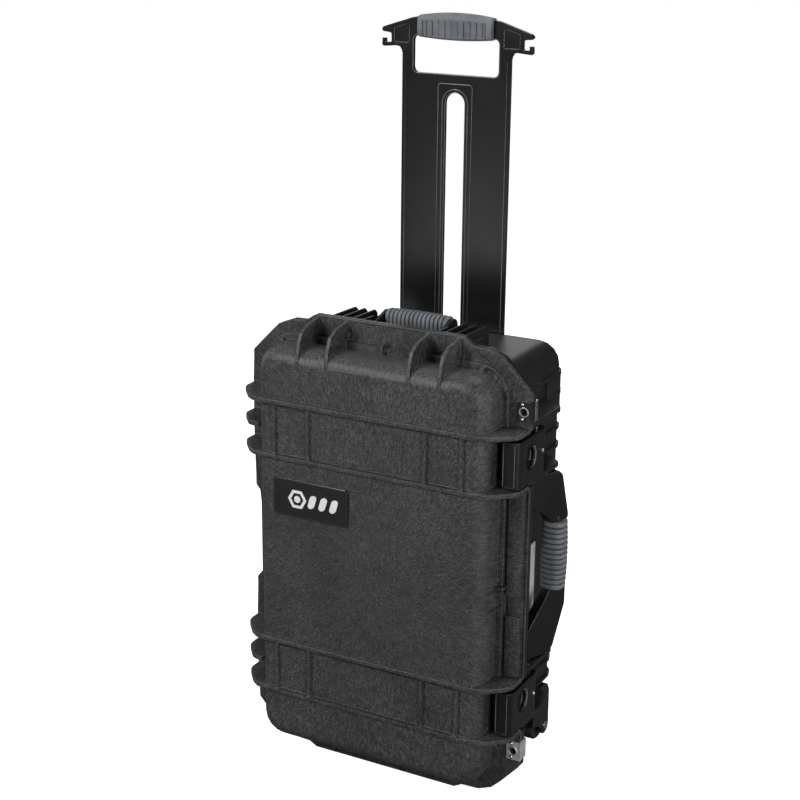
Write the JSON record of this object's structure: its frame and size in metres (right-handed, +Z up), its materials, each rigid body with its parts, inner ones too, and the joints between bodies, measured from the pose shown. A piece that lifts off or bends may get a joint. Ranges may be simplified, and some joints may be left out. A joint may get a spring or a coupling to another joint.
{
  "type": "hard equipment case",
  "caption": "Hard wheeled equipment case with ribbed shell, hinged lid, side latches, two folding carry handles and a flat telescoping pull handle.",
  "frame": {"origin": "centre of the case's bounding box in plan, on the floor it stands on", "axes": "+Z up along the pull handle, -Y out of the lid's front, +X towards the latches and the side handle"},
  "size_m": [0.373, 0.2277, 0.8885],
  "materials": {
    "badge": "black plate with a light emblem",
    "black_plastic": "satin black moulded plastic",
    "foam": "charcoal open-cell foam",
    "grey_plastic": "fine speckled charcoal moulded plastic",
    "grip_rubber": "slate grey grip rubber with moulded grooves",
    "hub": "dark grey wheel hub",
    "label": "printed white film",
    "rubber": "soft black seal rubber",
    "steel": "bright stamped and turned steel",
    "tyre": "hard dark tread"
  },
  "bodies": {
    "base": {"axle_left": "steel", "axle_right": "steel", "base_foam_pad": "foam", "base_hasp_lower": "steel", "base_hasp_upper": "steel", "base_shell": "black_plastic", "divider_frame": "foam", "divider_left_lower": "foam", "divider_left_upper": "foam", "divider_long": "foam", "divider_right": "foam", "guide_bridge": "black_plastic", "guide_rail_left": "black_plastic", "guide_rail_right": "black_plastic", "guide_screw_la": "steel", "guide_screw_lb": "steel", "guide_screw_lc": "steel", "guide_screw_ra": "steel", "guide_screw_rb": "steel", "guide_screw_rc": "steel", "hinge_pin_lower": "steel", "hinge_pin_upper": "steel", "latch_pin_lower": "steel", "latch_pin_upper": "steel", "side_handle_pin_lower": "steel", "side_handle_pin_upper": "steel", "side_label": "label", "slot_stop": "black_plastic", "top_handle_pin_left": "steel", "top_handle_pin_right": "steel", "valve_body": "black_plastic", "valve_cap": "grip_rubber", "wheel_bracket_left": "black_plastic", "wheel_bracket_right": "black_plastic"},
    "lid": {"badge_plate": "badge", "hasp_rivet_lower_a": "steel", "hasp_rivet_lower_b": "steel", "hasp_rivet_upper_a": "steel", "hasp_rivet_upper_b": "steel", "lid_foam": "foam", "lid_gasket": "rubber", "lid_hasp_lower": "steel", "lid_hasp_upper": "steel", "lid_shell": "grey_plastic"},
    "latch_upper": {"latch_rivet_upper": "steel", "latch_upper": "black_plastic"},
    "latch_lower": {"latch_lower": "black_plastic", "latch_rivet_lower": "steel"},
    "trigger_upper": {"latch_trigger_upper": "black_plastic"},
    "trigger_lower": {"latch_trigger_lower": "black_plastic"},
    "side_handle": {"side_handle_frame": "black_plastic", "side_handle_grip": "grip_rubber"},
    "top_handle": {"top_handle_frame": "black_plastic", "top_handle_grip": "grip_rubber"},
    "pull_handle": {"pull_handle_grip": "grip_rubber", "pull_handle_plate": "black_plastic"},
    "wheel_left": {"tyre_left": "tyre", "wheel_hub_left": "hub"},
    "wheel_right": {"tyre_right": "tyre", "wheel_hub_right": "hub"}
  },
  "joints": [
    {"name": "lid_hinge", "type": "hinge", "parent": "base", "child": "lid", "pos_m": [-0.1815, -0.0558, 0.278], "axis": [0, 0, -1], "range_deg": [0, 105]},
    {"name": "latch_upper_hinge", "type": "hinge", "parent": "base", "child": "latch_upper", "pos_m": [0.1655, -0.0254, 0.4282], "axis": [0, 0, 1], "range_deg": [0, 95]},
    {"name": "latch_lower_hinge", "type": "hinge", "parent": "base", "child": "latch_lower", "pos_m": [0.1655, -0.0254, 0.1278], "axis": [0, 0, 1], "range_deg": [0, 95]},
    {"name": "latch_trigger_upper_slide", "type": "slide", "parent": "latch_upper", "child": "trigger_upper", "axis": [-1, 0, 0], "range_m": [0, 0.0022], "stiffness_N_per_m": 2500},
    {"name": "latch_trigger_lower_slide", "type": "slide", "parent": "latch_lower", "child": "trigger_lower", "axis": [-1, 0, 0], "range_m": [0, 0.0022], "stiffness_N_per_m": 2500},
    {"name": "side_handle_hinge", "type": "hinge", "parent": "base", "child": "side_handle", "pos_m": [0.158, -0.0114, 0.278], "axis": [0, 0, -1], "range_deg": [0, 80]},
    {"name": "top_handle_hinge", "type": "hinge", "parent": "base", "child": "top_handle", "pos_m": [-0.005, -0.0124, 0.538], "axis": [1, 0, 0], "range_deg": [0, 78]},
    {"name": "pull_handle_slide", "type": "slide", "parent": "base", "child": "pull_handle", "axis": [0, 0, 1], "range_m": [-0.322, 0]},
    {"name": "wheel_left_spin", "type": "hinge", "parent": "base", "child": "wheel_left", "pos_m": [-0.135, 0.0826, 0.028], "axis": [1, 0, 0], "continuous": true},
    {"name": "wheel_right_spin", "type": "hinge", "parent": "base", "child": "wheel_right", "pos_m": [0.125, 0.0826, 0.028], "axis": [1, 0, 0], "continuous": true}
  ]
}
